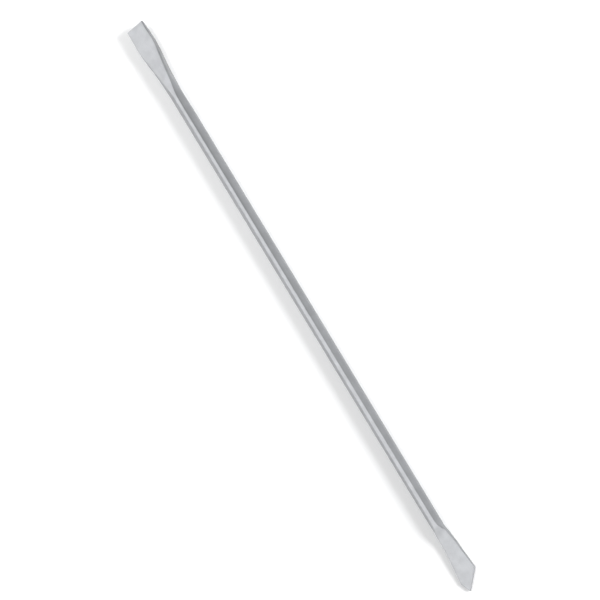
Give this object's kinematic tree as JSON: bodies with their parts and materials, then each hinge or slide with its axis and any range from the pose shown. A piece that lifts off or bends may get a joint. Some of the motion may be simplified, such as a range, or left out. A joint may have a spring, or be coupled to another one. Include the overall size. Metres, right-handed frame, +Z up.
{
  "type": "pry bar",
  "caption": "Long straight pry bar: an octagonal steel shank with a flared flat chisel at one end and a flattened, skewed diamond point at the other.",
  "frame": {"origin": "on the shank's bottom flat, midway between the bar's two ends and on the shank's centre line", "axes": "+X along the bar from the chisel end to the point end, +Z up out of the shank's top flat, +Y across the bar, square to both"},
  "size_m": [1.5, 0.043, 0.0264],
  "materials": {
    "steel": "satin silver-grey, shot-blasted forging with a ground chisel edge"
  },
  "bodies": {
    "root": {"forged_bar": "steel"}
  },
  "joints": []
}
